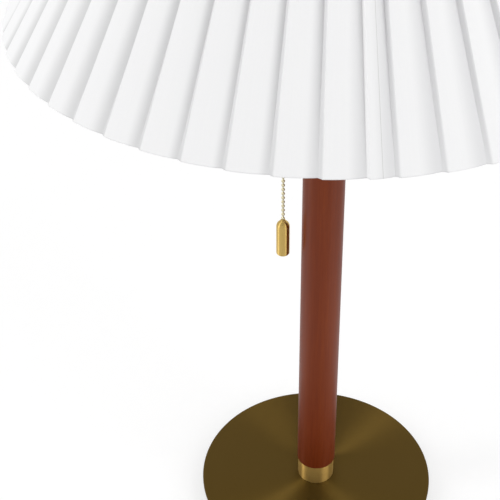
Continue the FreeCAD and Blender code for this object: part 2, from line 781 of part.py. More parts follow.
def shade_spider(ring):
    """Pierced washer and three straight arms welded to the top ring."""
    fitter = tube(WASHER_OUTER, WASHER_HOLE, washer_z, WASHER_THICKNESS)
    hub_z = washer_z + WASHER_THICKNESS / 2
    reach = ring_radius(top_ring_z)
    for k in range(SPIDER_ARMS):
        angle = math.radians(90 + 360.0 * k / SPIDER_ARMS)
        outwards = at(math.cos(angle), math.sin(angle), 0)
        foot = outwards * ARM_START + Z_AXIS * hub_z
        fitter = fitter.fuse(rod(foot, outwards * reach + Z_AXIS * top_ring_z, ARM_RADIUS, ARM_SIDES))
    return fitter.cut(ring)


top_ring = wire_ring(ring_radius(top_ring_z), top_ring_z)
save("pleated_shade", shade)
save("shade_bottom_ring", wire_ring(ring_radius(bottom_ring_z), bottom_ring_z))
save("shade_top_ring", top_ring)
save("shade_spider", shade_spider(top_ring))

# ---- finial -------------------------------------------------------------------------
FINIAL_BASE_RADIUS = 7.2
FINIAL_NECK_RADIUS = 4.4
FINIAL_BALL_RADIUS = 7.5
FINIAL_BALL_STEPS = 4
FINIAL_BORE_CLEARANCE = 0.05
finial_z = washer_z + WASHER_THICKNESS


def finial():
    """Turned brass knob: flanged foot, neck and ball, bored for the post."""
    bore = STUD_RADIUS + FINIAL_BORE_CLEARANCE
    bore_top = washer_z + STUD_POST_LENGTH + 0.5
    start = -math.degrees(math.acos(FINIAL_NECK_RADIUS / FINIAL_BALL_RADIUS))
    ball_z = finial_z + 5.0 - FINIAL_BALL_RADIUS * math.sin(math.radians(start))
    ball = round_steps(FINIAL_BALL_RADIUS, ball_z, start, 90.0, FINIAL_BALL_STEPS)
    return turned([
        (bore, finial_z),
        (FINIAL_BASE_RADIUS, finial_z),
        (FINIAL_BASE_RADIUS, finial_z + 1.6),
        (FINIAL_NECK_RADIUS, finial_z + 3.0),
    ] + ball + [(0, bore_top), (bore, bore_top)])


save("finial", finial())
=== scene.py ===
import math

import bmesh
import bpy
from mathutils import Matrix, Vector


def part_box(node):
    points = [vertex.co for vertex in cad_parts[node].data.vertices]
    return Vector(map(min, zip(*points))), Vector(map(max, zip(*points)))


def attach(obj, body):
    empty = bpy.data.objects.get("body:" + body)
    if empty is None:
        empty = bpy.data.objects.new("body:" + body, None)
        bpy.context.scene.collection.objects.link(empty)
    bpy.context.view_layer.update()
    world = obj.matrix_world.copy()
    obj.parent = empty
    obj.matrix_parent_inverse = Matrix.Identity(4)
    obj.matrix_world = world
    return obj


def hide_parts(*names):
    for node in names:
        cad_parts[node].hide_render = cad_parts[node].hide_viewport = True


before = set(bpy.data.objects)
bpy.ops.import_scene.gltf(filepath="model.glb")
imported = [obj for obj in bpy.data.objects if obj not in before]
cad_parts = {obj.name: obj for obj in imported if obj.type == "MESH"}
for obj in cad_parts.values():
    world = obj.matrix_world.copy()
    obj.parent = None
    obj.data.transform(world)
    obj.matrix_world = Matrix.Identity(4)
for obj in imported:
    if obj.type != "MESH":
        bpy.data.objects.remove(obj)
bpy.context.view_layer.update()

# ---- camera -------------------------------------------------------------------------
# The eye stands a little above the shade's rim and looks down along the column, so the
# picture cuts off the top of the shade and the front edge of the base.
PAN = -0.0766
PITCH = math.radians(36.52)
ROLL = math.radians(-0.932)
ahead = Vector((math.sin(PAN) * math.cos(PITCH), math.cos(PAN) * math.cos(PITCH), -math.sin(PITCH)))
level = Vector((math.cos(PAN), -math.sin(PAN), 0.0))
upright = level.cross(ahead)
across = math.cos(ROLL) * level + math.sin(ROLL) * upright
upward = math.cos(ROLL) * upright - math.sin(ROLL) * level
eye = bpy.data.objects.new("eye", bpy.data.cameras.new("eye"))
bpy.context.scene.collection.objects.link(eye)
eye.matrix_world = (Matrix.Translation((0.0, -0.5936, 0.6535))
                    @ Matrix((across, upward, -ahead)).transposed().to_4x4())
eye.data.sensor_width = 36.0
eye.data.lens = 84.12
bpy.context.scene.camera = eye


# ---- studio -------------------------------------------------------------------------
# A white room with one broad soft lamp high on the right and a narrow one on the left,
# over a white floor that keeps the lamp's own soft shadow.
class Tap:
    """A node socket that sums can be written with."""

    def __init__(self, tree, socket=None):
        self.tree = tree
        self.socket = socket

    def node(self, kind, settings=(), inputs=(), output=0):
        """Adds a node: its settings first, then a value or a link for each socket named."""
        added = self.tree.nodes.new("ShaderNode" + kind)
        for name, value in dict(settings).items():
            if name == "stops":
                ramp = added.color_ramp.elements
                while len(ramp) < len(value):
                    ramp.new(1.0)
                for stop, (position, color) in zip(ramp, value):
                    stop.position = position
                    stop.color = (*color, 1.0)
            else:
                setattr(added, name, value)
        for name, value in dict(inputs).items():
            if isinstance(value, Tap):
                self.tree.links.new(value.socket, added.inputs[name])
            else:
                added.inputs[name].default_value = value
        return Tap(self.tree, added.outputs[output])

    def sum(self, operation, first, second=0.0):
        return self.node("Math", {"operation": operation}, {0: first, 1: second})

    def __add__(self, other):
        return self.sum("ADD", self, other)

    def __sub__(self, other):
        return self.sum("SUBTRACT", self, other)

    def __mul__(self, other):
        return self.sum("MULTIPLY", self, other)

    def __truediv__(self, other):
        return self.sum("DIVIDE", self, other)

    def __rsub__(self, other):
        return self.sum("SUBTRACT", other, self)

    __radd__ = __add__
    __rmul__ = __mul__


def finish(name, base, roughness, metallic=0.0, **fixed):
    """A material with one principled shader; returns it, a tap into its tree and the shader."""
    material = bpy.data.materials.new(name)
    material.use_nodes = True
    tree = material.node_tree
    shader = tree.nodes["Principled BSDF"]
    shader.inputs["Base Color"].default_value = (*base, 1.0)
    shader.inputs["Roughness"].default_value = roughness
    shader.inputs["Metallic"].default_value = metallic
    for socket, value in fixed.items():
        shader.inputs[socket.replace("_", " ")].default_value = value
    return material, Tap(tree), shader


def feed(tap, shader, **links):
    """Links taps to the shader's sockets."""
    for socket, value in links.items():
        tap.tree.links.new(value.socket, shader.inputs[socket.replace("_", " ")])


def mixed(tap, share, first, second):
    """Between two colours, by a share from 0 to 1."""
    ends = [value if isinstance(value, Tap) else (*value, 1.0) for value in (first, second)]
    return tap.node("Mix", {"data_type": "RGBA"}, {0: share, 6: ends[0], 7: ends[1]}, 2)


def place(tap):
    """The point on the piece, in metres."""
    return tap.node("TexCoord", output="Object")


def axes(tap):
    """The same point's x, y and z."""
    split = tap.node("SeparateXYZ", inputs={0: place(tap)}).socket.node
    return [Tap(tap.tree, output) for output in split.outputs]


def grained(tap, scale, detail=2.0, squash=(1.0, 1.0, 1.0)):
    """Noise from 0 to 1; scale is per metre, and squash stretches it along an axis."""
    spread = tap.node("Mapping", inputs={"Vector": place(tap), "Scale": squash})
    return tap.node("TexNoise", inputs={"Vector": spread, "Scale": scale, "Detail": detail})


def relief(tap, height, strength, distance=0.0002):
    """A bumped normal; distance is the full height of the bumps, in metres."""
    return tap.node("Bump", inputs={"Height": height, "Strength": strength, "Distance": distance})


def lamp(name, spot, power, width, height):
    """A rectangular lamp that faces the lower part of the column."""
    light = bpy.data.lights.new(name, "AREA")
    light.energy = power
    light.shape = "RECTANGLE"
    light.size = width
    light.size_y = height
    holder = bpy.data.objects.new(name, light)
    bpy.context.scene.collection.objects.link(holder)
    holder.location = spot
    holder.rotation_mode = "QUATERNION"
    holder.rotation_quaternion = (Vector((0.0, 0.0, 0.3)) - Vector(spot)).to_track_quat("-Z", "Y")


lamp("broad_lamp", (1.5, -0.87, 1.15), 15.0, 1.3, 1.9)
lamp("narrow_lamp", (-1.6, -0.37, 1.15), 12.5, 0.4, 1.9)

ROOM_LIGHT = 0.63
room = bpy.data.worlds.new("white_room")
bpy.context.scene.world = room
room.use_nodes = True
backdrop = Tap(room.node_tree)
direct = backdrop.node("LightPath", output="Is Camera Ray")
for ray in ("Is Transmission Ray", "Is Glossy Ray"):
    direct = backdrop.sum("MAXIMUM", direct, backdrop.node("LightPath", output=ray))
shine = backdrop.node("Background", inputs={"Color": (1.0, 1.0, 1.0, 1.0),
                                            "Strength": ROOM_LIGHT + (1 - ROOM_LIGHT) * direct})
room.node_tree.links.new(shine.socket, room.node_tree.nodes["World Output"].inputs["Surface"])

sweep = bmesh.new()
bmesh.ops.create_grid(sweep, x_segments=2, y_segments=2, size=6.0)
floor_mesh = bpy.data.meshes.new("floor")
sweep.to_mesh(floor_mesh)
sweep.free()
floor = bpy.data.objects.new("floor", floor_mesh)
bpy.context.scene.collection.objects.link(floor)
floor_white, tap, shader = finish("floor_white", (0.90, 0.90, 0.90), 0.9, Emission_Strength=1.0)
looked_at = tap.sum("MAXIMUM", tap.node("LightPath", output="Is Camera Ray"),
                    tap.node("LightPath", output="Is Glossy Ray"))
feed(tap, shader, Emission_Color=mixed(tap, looked_at, (0.0, 0.0, 0.0), (0.62, 0.62, 0.62)),
     Base_Color=mixed(tap, looked_at, (0.90, 0.90, 0.90), (0.42, 0.42, 0.42)))
floor_mesh.materials.append(floor_white)


# ---- felt pad and iron weight -------------------------------------------------------
# A dark green felt disc is glued under a round cast iron weight, which is painted black
# and stays out of sight under the plate; both keep their solids' own shape.
def dressed(node, material):
    """A solid that is shown as it is gets a finish."""
    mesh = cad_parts[node].data
    mesh.materials.clear()
    mesh.materials.append(material)


felt, tap, shader = finish("green_felt", (0.020, 0.045, 0.030), 0.95, Sheen_Weight=0.4)
fibre = grained(tap, 900.0, 4.0)
feed(tap, shader, Base_Color=mixed(tap, fibre, (0.012, 0.028, 0.018), (0.035, 0.070, 0.045)),
     Normal=relief(tap, fibre, 0.6, 0.0003))
dressed("felt_pad", felt)

iron, tap, shader = finish("painted_iron", (0.02, 0.02, 0.02), 0.55)
cast = grained(tap, 240.0, 5.0)
feed(tap, shader, Base_Color=mixed(tap, cast, (0.010, 0.010, 0.010), (0.030, 0.029, 0.028)),
     Roughness=0.45 + 0.25 * cast, Normal=relief(tap, cast, 0.5, 0.0004))
dressed("base_weight", iron)

# ---- cord inlet, pipe nut and washer ------------------------------------------------
# A black moulded bushing lines the inlet at the rear; a zinc plated nut and washer in
# the weight's recess draw the pipe down and hold the whole column together.
black_moulding, tap, shader = finish("black_moulding", (0.015, 0.015, 0.015), 0.45)
grain = grained(tap, 1500.0, 3.0)
feed(tap, shader, Roughness=0.38 + 0.2 * grain, Normal=relief(tap, grain, 0.15, 0.0001),
     Base_Color=mixed(tap, grain, (0.012, 0.012, 0.012), (0.022, 0.022, 0.022)))
dressed("cord_bushing", black_moulding)

zinc, tap, shader = finish("zinc_plate", (0.55, 0.55, 0.54), 0.35, 1.0)
crystal = grained(tap, 600.0, 3.0)
feed(tap, shader, Roughness=0.25 + 0.25 * crystal,
     Base_Color=mixed(tap, crystal, (0.45, 0.45, 0.44), (0.62, 0.62, 0.60)))
for hidden in ("base_washer", "base_nut", "threaded_tube", "saddle_nut", "switch_lever"):
    dressed(hidden, zinc)


# ---- base plate ---------------------------------------------------------------------
# A spun brass disc, brushed on the lathe so that fine rings catch the light in fans,
# with a narrow rolled edge and a satin lacquer; the collar and the pipe clamp it down.
def spun(name, outline, steps=96, away=(0.0, 0.0), tilt=None):
    """Lathe work: an outline of (radius, height) in millimetres, spun round an upright axis."""
    work = bmesh.new()
    points = [work.verts.new((radius / 1000, 0.0, height / 1000)) for radius, height in outline]
    open_inside = outline[0][0] > 0 or outline[-1][0] > 0
    edges = [work.edges.new(pair) for pair in zip(points, points[1:])]
    if open_inside:
        edges.append(work.edges.new((points[-1], points[0])))
    bmesh.ops.spin(work, geom=points + edges, cent=(0, 0, 0), axis=(0, 0, 1), dvec=(0, 0, 0),
                   angle=2 * math.pi, steps=steps, use_merge=True, use_duplicate=False)
    bmesh.ops.remove_doubles(work, verts=work.verts, dist=1e-6)
    bmesh.ops.recalc_face_normals(work, faces=work.faces)
    bmesh.ops.translate(work, verts=work.verts, vec=(away[0] / 1000, away[1] / 1000, 0.0))
    return work


def eased(work, width, segments=3, low=-1.0, high=1000.0, turn=25.0, inner=0.0, outer=1000.0):
    """Rounds the sharp edges that lie between two heights and two radii, in millimetres."""
    edges = []
    for edge in work.edges:
        middle = (edge.verts[0].co + edge.verts[1].co) * 500
        reach = math.hypot(edge.verts[0].co.x, edge.verts[0].co.y) * 1000
        if (len(edge.link_faces) == 2 and low <= middle.z <= high and inner <= reach <= outer
                and edge.calc_face_angle(0.0) > math.radians(turn)):
            edges.append(edge)
    bmesh.ops.bevel(work, geom=edges, offset=width / 1000, offset_type="OFFSET", segments=segments,
                    profile=0.5, affect="EDGES", clamp_overlap=True, material=-1)
    return work


def made(work, name, material, body, nodes=(), sharp=40.0):
    """Turns the mesh work into a piece that rides on a body and stands for its solids."""
    mesh = bpy.data.meshes.new(name)
    work.to_mesh(mesh)
    work.free()
    mesh.shade_smooth()
    mesh.set_sharp_from_angle(angle=math.radians(sharp))
    mesh.materials.append(material)
    piece = bpy.data.objects.new(name, mesh)
    bpy.context.scene.collection.objects.link(piece)
    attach(piece, body)
    if nodes:
        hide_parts(*nodes)
    return piece


def round_brush(tap, rings, smear):
    """Lathe marks: noise that changes fast with the radius and slowly round the axis."""
    x, y, _ = axes(tap)
    radius = tap.sum("SQRT", x * x + y * y)
    way = tap.node("CombineXYZ", inputs={0: x / radius * smear, 1: y / radius * smear,
                                         2: radius * rings})
    return tap.node("TexNoise", inputs={"Vector": way, "Scale": 1.0, "Detail": 3.0, "Roughness": 0.6})


brushed_brass, tap, shader = finish("brushed_brass", (0.095, 0.055, 0.013), 0.5, 1.0,
                                    Anisotropic=0.95, Anisotropic_Rotation=0.25)
fine = round_brush(tap, 5200.0, 1.6)
broad = round_brush(tap, 420.0, 0.8)
stain = grained(tap, 26.0, 4.0)
feed(tap, shader,
     Base_Color=mixed(tap, stain * 0.5 + fine * 0.5, (0.100, 0.059, 0.011), (0.144, 0.089, 0.021)),
     Roughness=0.44 + 0.10 * fine + 0.07 * stain,
     Normal=relief(tap, fine * 0.7 + broad * 0.3, 0.10, 0.00005))
plate = spun("base_plate", [(5.2, 10.5), (82.5, 10.5), (82.5, 13.5), (5.2, 13.5)], 160)
eased(plate, 1.2, 5, 13.4, 13.6, inner=80.0)
eased(plate, 0.3, 2, 10.4, 10.6, inner=80.0)
made(plate, "brass_base_plate", brushed_brass, "stand", ("base_plate",))

# ---- foot collar --------------------------------------------------------------------
# A short brass collar lifts the column off the plate: it is turned a little slimmer than
# the wood, keeps the tool's fine marks, and has its rims eased with a file.
turned_brass, tap, shader = finish("turned_brass", (0.46, 0.29, 0.085), 0.40, 1.0,
                                   Anisotropic=1.0, Anisotropic_Rotation=0.25)
swarf = grained(tap, 900.0, 3.0, (0.1, 0.1, 1.0))
feed(tap, shader, Base_Color=mixed(tap, swarf, (0.42, 0.26, 0.07), (0.50, 0.33, 0.10)),
     Roughness=0.36 + 0.08 * swarf, Normal=relief(tap, swarf, 0.05, 0.00005))
collar = spun("foot_collar", [(5.2, 13.5), (12.7, 13.5), (12.7, 29.1), (5.2, 29.1)])
eased(collar, 0.5, 3, inner=12.0)
made(collar, "brass_foot_collar", turned_brass, "stand", ("foot_collar",))

# ---- column -------------------------------------------------------------------------
# One turned dowel of beech, a little stouter at its foot, bored for the pipe, stained
# red-brown and given a satin lacquer; its ends are eased so that the stain does not chip.
stained_wood, tap, shader = finish("stained_wood", (0.15, 0.023, 0.003), 0.42,
                                   Specular_IOR_Level=0.24, Anisotropic=0.9,
                                   Anisotropic_Rotation=0.25)
pores = grained(tap, 1100.0, 4.0, (1.0, 1.0, 0.035))
figure = grained(tap, 95.0, 3.0, (1.0, 1.0, 0.06))
tone = figure * 0.55 + pores * 0.45
feed(tap, shader,
     Base_Color=tap.node("ValToRGB", {"stops": ((0.25, (0.124, 0.017, 0.001)),
                                                (0.50, (0.160, 0.024, 0.002)),
                                                (0.75, (0.198, 0.035, 0.004)))}, {0: tone}),
     Roughness=0.30 + 0.14 * pores, Normal=relief(tap, pores, 0.12, 0.0001))
column = spun("wood_stem", [(5.3, 29.1), (13.4, 29.1), (12.8, 349.5), (5.3, 349.5)], 112)
eased(column, 0.8, 3, inner=12.0)
made(column, "turned_wood_stem", stained_wood, "stand", ("wood_stem",))

# ---- ferrule and harp holder --------------------------------------------------------
# A spun brass cap closes the column's upper end; on it lies the strip brass saddle,
# locked by a nut, whose two ears carry the harp.
polished_brass, tap, shader = finish("polished_brass", (0.66, 0.47, 0.16), 0.42, 1.0,
                                     Anisotropic=1.0, Anisotropic_Rotation=0.25)
cloud = grained(tap, 90.0, 4.0)
wipe = grained(tap, 700.0, 3.0, (1.0, 1.0, 0.15))
feed(tap, shader, Base_Color=mixed(tap, cloud, (0.60, 0.41, 0.12), (0.72, 0.52, 0.18)),
     Roughness=0.34 + 0.12 * cloud + 0.06 * wipe, Normal=relief(tap, wipe, 0.04, 0.00005))
ferrule = spun("top_ferrule", [(5.2, 349.5), (13.6, 349.5), (13.6, 351.5), (8.5, 357.5),
                               (5.2, 357.5)])
eased(ferrule, 0.6, 3, 350.0, 352.0, inner=12.0)
eased(ferrule, 0.3, 2, 357.0, 358.0, inner=8.0)
made(ferrule, "brass_top_ferrule", polished_brass, "stand", ("top_ferrule",))
dressed("harp_saddle", polished_brass)

# ---- harp ---------------------------------------------------------------------------
# Three millimetre spring wire, brass plated: two straight feet, a flare round the bulb
# and a closed crown, bent in one piece and clenched in the stud at the top.
LEG_Y = 28.5 + 0.8 + 1.5 / math.cos(math.pi / 6) + 0.01
LEG_FOOT = 357.5 + 6.5 - 2.0
wire = bmesh.new()
bmesh.ops.create_circle(wire, cap_ends=True, radius=0.0015, segments=16)
bmesh.ops.translate(wire, verts=wire.verts, vec=(0.0, LEG_Y / 1000, LEG_FOOT / 1000))
front_face = wire.faces[:]
heading = 0.0


def drawn(length):
    """Pushes the wire on along its heading."""
    global front_face
    grown = bmesh.ops.extrude_face_region(wire, geom=front_face)["geom"]
    front_face = [item for item in grown if isinstance(item, bmesh.types.BMFace)]
    way = Vector((0.0, math.sin(heading), math.cos(heading))) * length / 1000
    bmesh.ops.translate(wire, vec=way,
                        verts=[item for item in grown if isinstance(item, bmesh.types.BMVert)])


def bent(radius, angle, steps):
    """Bends the wire in the harp's plane; a positive angle leans it outwards."""
    global front_face, heading
    sign = 1 if angle > 0 else -1
    middle = sum((corner.co for corner in front_face[0].verts), Vector()) / len(front_face[0].verts)
    aside = Vector((0.0, math.cos(heading), -math.sin(heading)))
    for _ in range(steps):
        grown = bmesh.ops.extrude_face_region(wire, geom=front_face)["geom"]
        front_face = [item for item in grown if isinstance(item, bmesh.types.BMFace)]
        corners = [item for item in grown if isinstance(item, bmesh.types.BMVert)]
        bmesh.ops.rotate(wire, verts=corners, cent=middle + aside * sign * radius / 1000,
                         matrix=Matrix.Rotation(-angle / steps, 3, "X"))
    heading += angle


drawn(25.0 + 2.0)
bent(30.0, math.radians(22), 6)
drawn(43.5)
bent(70.0, math.radians(-90), 26)
bent(12.0, math.radians(-22), 6)
crown = sum((corner.co for corner in front_face[0].verts), Vector()) / len(front_face[0].verts)
drawn(crown.y * 1000)
bmesh.ops.delete(wire, geom=front_face, context="FACES_ONLY")
bmesh.ops.mirror(wire, geom=wire.verts[:] + wire.edges[:] + wire.faces[:], axis="Y", merge_dist=1e-5)
bmesh.ops.remove_doubles(wire, verts=wire.verts, dist=1e-6)
bmesh.ops.recalc_face_normals(wire, faces=wire.faces)
made(wire, "brass_harp", polished_brass, "stand", ("harp",))

stud = spun("harp_stud", [(0.0, 531.07), (4.6, 531.07), (8.0, 536.57), (3.1, 536.57),
                          (3.1, 550.57), (0.0, 550.57)], 64)
eased(stud, 0.35, 2, inner=2.0)
made(stud, "brass_harp_stud", polished_brass, "stand", ("harp_stud",))

# ---- harp sleeves -------------------------------------------------------------------
# Two short brass tubes with rolled rims drop over the saddle's ears and the harp's feet
# and hold them together; they are lifted to take the harp off.
for side, name in ((-1, "front"), (1, "rear")):
    sleeve = spun(name, [(3.5, 364.0), (4.2, 364.0), (4.2, 374.0), (3.5, 374.0)], 48)
    eased(sleeve, 0.25, 2)
    bmesh.ops.translate(sleeve, verts=sleeve.verts, vec=(0.0, side * 0.030, 0.0))
    made(sleeve, name + "_sleeve_tube", polished_brass, name + "_sleeve",
         ("harp_sleeve_" + name,))

# ---- lampholder ---------------------------------------------------------------------
# A spun brass cap with a threaded hub, a deep drawn shell with a rolled mouth and a card
# liner; inside, the moulded switch carries the lamp thread and its binding screws.
cap = spun("socket_cap", [(5.02, 362.1), (7.5, 362.1), (7.5, 367.1), (17.0, 373.5),
                          (17.0, 378.5), (16.4, 378.5), (16.4, 374.1), (15.75, 374.1),
                          (7.5, 367.7), (5.02, 367.7)])
eased(cap, 2.2, 6, 373.0, 374.0, inner=16.9)
eased(cap, 0.8, 3, 366.8, 367.3, inner=7.0, outer=8.0)
eased(cap, 0.25, 2, 361.0, 363.0)
made(cap, "lampholder_cap", polished_brass, "stand", ("socket_cap",))

shell = spun("socket_shell", [(15.75, 374.1), (16.35, 374.1), (16.35, 380.6), (16.05, 381.1),
                              (16.05, 381.9), (16.35, 382.4), (16.35, 409.9), (16.95, 410.7),
                              (16.95, 411.4), (16.35, 412.1), (15.75, 412.1)])
eased(shell, 0.25, 2, 380.0, 413.0, 20.0, 15.9)
made(shell, "lampholder_shell", polished_brass, "stand", ("socket_shell",))

card, tap, shader = finish("liner_card", (0.40, 0.29, 0.18), 0.85)
pulp = grained(tap, 1300.0, 4.0)
feed(tap, shader, Base_Color=mixed(tap, pulp, (0.33, 0.23, 0.14), (0.46, 0.34, 0.22)),
     Normal=relief(tap, pulp, 0.3, 0.0001))
dressed("insulating_liner", card)

brown_moulding, tap, shader = finish("brown_moulding", (0.05, 0.025, 0.015), 0.4)
flow = grained(tap, 320.0, 4.0)
feed(tap, shader, Base_Color=mixed(tap, flow, (0.035, 0.016, 0.010), (0.070, 0.036, 0.022)),
     Roughness=0.32 + 0.2 * flow)
dressed("switch_body", brown_moulding)
for live in ("terminal_screws", "screw_shell", "centre_contact"):
    dressed(live, polished_brass)

set_screw = spun("set_screw", [(0.0, 0.0), (1.5, 0.0), (1.5, 2.6), (0.0, 2.6)], 32)
SLOT_HALF = 0.0003
for side in (SLOT_HALF, -SLOT_HALF):
    bmesh.ops.bisect_plane(set_screw, plane_co=(side, 0.0, 0.0), plane_no=(1, 0, 0),
                           geom=set_screw.verts[:] + set_screw.edges[:] + set_screw.faces[:])
slot_floor = [face for face in set_screw.faces
              if face.normal.z > 0.9 and abs(face.calc_center_median().x) < SLOT_HALF]
sunk = bmesh.ops.extrude_face_region(set_screw, geom=slot_floor)["geom"]
bmesh.ops.translate(set_screw, vec=(0.0, 0.0, -0.0008),
                    verts=[item for item in sunk if isinstance(item, bmesh.types.BMVert)])
bmesh.ops.delete(set_screw, geom=slot_floor, context="FACES")
bmesh.ops.rotate(set_screw, verts=set_screw.verts, matrix=Matrix.Rotation(math.radians(90), 3, "X"))
bmesh.ops.translate(set_screw, verts=set_screw.verts, vec=(0.0, -0.0060, 0.3646))
made(set_screw, "lampholder_set_screw", zinc, "stand")

# ---- chain outlet -------------------------------------------------------------------
# A small turned brass elbow in the shell's side; its bell mouth points straight down and
# lets the chain run in at any angle without fraying.
CHAIN_X = -24.7
bell = spun("chain_spout", [(0.0, 386.3), (1.8, 386.3), (3.3, 385.1), (3.3, 374.8), (3.6, 373.4),
                            (4.2, 372.0), (5.0, 370.9), (4.9, 370.7), (4.5, 370.7), (3.6, 371.9),
                            (2.6, 373.0), (1.9, 373.8), (1.9, 385.1), (0.0, 385.1)], 48)
eased(bell, 0.5, 3, 385.0, 386.5, inner=1.7)
bmesh.ops.translate(bell, verts=bell.verts, vec=(CHAIN_X / 1000, 0.0, 0.0))
arm = bmesh.ops.create_cone(bell, cap_ends=True, segments=36, radius1=0.0028, radius2=0.0028,
                            depth=0.0078)["verts"]
bmesh.ops.rotate(bell, verts=arm, matrix=Matrix.Rotation(math.radians(90), 3, "Y"))
bmesh.ops.translate(bell, verts=arm, vec=(-0.0186, 0.0, 0.3827))
made(bell, "chain_bell_mouth", polished_brass, "stand", ("chain_spout",))

# ---- bulb ---------------------------------------------------------------------------
# A blown glass globe with a white powder coat inside, its neck cemented into a rolled
# aluminium cap with a black glass bead and a soldered tip.
white_glass, tap, shader = finish("white_glass", (0.90, 0.90, 0.87), 0.22, Coat_Weight=0.5,
                                  Coat_Roughness=0.03)
powder = grained(tap, 60.0, 3.0)
feed(tap, shader, Base_Color=mixed(tap, powder, (0.86, 0.86, 0.83), (0.92, 0.92, 0.90)),
     Roughness=0.18 + 0.1 * powder)
globe = [(0.0, 417.0), (13.4, 417.0), (14.6, 429.0)]
globe += [(30.0 * math.cos(math.radians(turn)), 467.0 + 30.0 * math.sin(math.radians(turn)))
          for turn in range(-30, 90, 5)] + [(0.0, 497.0)]
bulb = spun("bulb_glass", globe)
eased(bulb, 4.0, 5, 428.0, 430.0, 10.0, 14.0)
eased(bulb, 3.0, 5, 451.0, 453.0, 10.0, 25.0)
made(bulb, "bulb_globe", white_glass, "bulb", ("bulb_glass",), 60.0)

rolled_aluminium, tap, shader = finish("rolled_aluminium", (0.72, 0.72, 0.72), 0.32, 1.0)
drawn_marks = round_brush(tap, 2500.0, 2.0)
feed(tap, shader, Roughness=0.25 + 0.2 * drawn_marks,
     Base_Color=mixed(tap, drawn_marks, (0.62, 0.62, 0.62), (0.78, 0.78, 0.78)))
thread = [(0.0, 395.0), (11.0, 395.0), (12.6, 397.0)]
thread += [(12.75 + 0.25 * math.cos(2 * math.pi * step / 6), 397.6 + 0.6 * step) for step in range(28)]
thread += [(13.0, 414.6), (13.0, 417.0), (0.0, 417.0)]
made(spun("bulb_cap", thread, 72), "bulb_screw_cap", rolled_aluminium, "bulb",
     ("bulb_cap",), 60.0)
black_glass, tap, shader = finish("black_glass", (0.010, 0.010, 0.012), 0.08)
swirl = grained(tap, 400.0)
feed(tap, shader, Roughness=0.05 + 0.1 * swirl,
     Base_Color=mixed(tap, swirl, (0.008, 0.008, 0.010), (0.016, 0.016, 0.020)))
dressed("bulb_insulator", black_glass)
dressed("bulb_contact", zinc)


# ---- pull chain ---------------------------------------------------------------------
# Hollow brass beads of 2.4 mm rolled round short wire links; four beads wait in the bell,
# one turns at its mouth and the rest hang down to the weight.
BEAD_RADIUS = 1.2
BEAD_PITCH = 3.05
CHAIN_FOOT = 236.8


def beaded(name, highest, count, head, foot):
    """A run of beads as one outline, from the foot of its last link up to its head."""
    run = [(0.0, foot), (0.35, foot)]
    for step in reversed(range(count)):
        middle = highest - BEAD_PITCH * step
        for turn in (-73, -48, -16, 16, 48, 73):
            run.append((BEAD_RADIUS * math.cos(math.radians(turn)),
                        middle + BEAD_RADIUS * math.sin(math.radians(turn))))
    run += [(0.35, head), (0.0, head)]
    return spun(name, run, 12, (CHAIN_X, 0.0))


aged_brass, tap, shader = finish("chain_brass", (0.62, 0.56, 0.36), 0.28, 1.0)
wear = grained(tap, 1600.0, 2.0)
feed(tap, shader, Base_Color=mixed(tap, wear, (0.52, 0.46, 0.28), (0.70, 0.65, 0.46)),
     Roughness=0.20 + 0.2 * wear)
MOUTH = 370.7
SWING = MOUTH - BEAD_PITCH / 2
LINK_END = math.hypot(BEAD_RADIUS, 0.5) + 0.15
lead_top = MOUTH + BEAD_PITCH / 2 + 3 * BEAD_PITCH
made(beaded("chain_lead", lead_top, 4, lead_top + 1.35, SWING + LINK_END), "chain_in_bell",
     aged_brass, "pull", ("chain_lead",), 60.0)
made(beaded("chain_knuckle", SWING, 1, SWING + 1.16, SWING - 1.16), "chain_turning_bead",
     aged_brass, "sway", ("chain_knuckle",), 60.0)
made(beaded("ball_chain", SWING - BEAD_PITCH, 43, SWING - LINK_END, CHAIN_FOOT), "hanging_beads",
     aged_brass, "hanging_chain", ("ball_chain",), 60.0)

# ---- pendant ------------------------------------------------------------------------
# A solid turned brass weight with a small neck, a domed shoulder and an eased foot; the
# last bead is pinched in its bore.
WEIGHT_RADIUS = 4.2
SHOULDER = 232.0
weight = [(0.0, 210.8), (WEIGHT_RADIUS, 210.8), (WEIGHT_RADIUS, SHOULDER)]
weight += [(WEIGHT_RADIUS * math.cos(math.radians(turn)),
            SHOULDER + WEIGHT_RADIUS * math.sin(math.radians(turn)))
           for turn in (12, 24, 36, 48, 58, 66)]
weight += [(1.6, 236.0), (1.6, 236.6), (1.2, CHAIN_FOOT), (0.0, CHAIN_FOOT)]
pendant = spun("pull_pendant", weight, 56, (CHAIN_X, 0.0))
eased(pendant, 1.2, 4, 210.0, 211.0)
made(pendant, "brass_pull_weight", polished_brass, "hanging_chain",
     ("pull_pendant",), 50.0)

# ---- pleated shade ------------------------------------------------------------------
# Stiff white laid paper, folded by hand into fifty-six pleats: each has a steep crisp
# fold on its left and a broad face that rolls gently into the next valley. The sheet's
# ends overlap in one narrower pleat, and rim and top are glued to wire rings.
RIM_Z = 381.9
TOP_Z = 549.9
HEIGHT = TOP_Z - RIM_Z
RIM_CREST = 176.5
TAPER = 0.65
PLEATS = 56
SEAM_START = 5.62
SEAM_WIDTH = 3.78
SLACK = 0.055
PLEAT_WIDTH = (360 - SEAM_WIDTH) / (PLEATS - 1)
FOLD_SHARE = 0.10
FACE_CURVE = 2.2
SHEET = 0.8
ACROSS = (0.0, FOLD_SHARE, 0.14, 0.23, 0.34, 0.46, 0.56, 0.66, 0.75, 0.83, 0.90, 0.96)
UPWARD = ((0.0, 1.3), (0.003, 1.3), (0.05, 1.7), (0.15, 2.4), (0.35, 3.2), (0.65, 3.9),
          (0.997, 4.6), (1.0, 4.6))


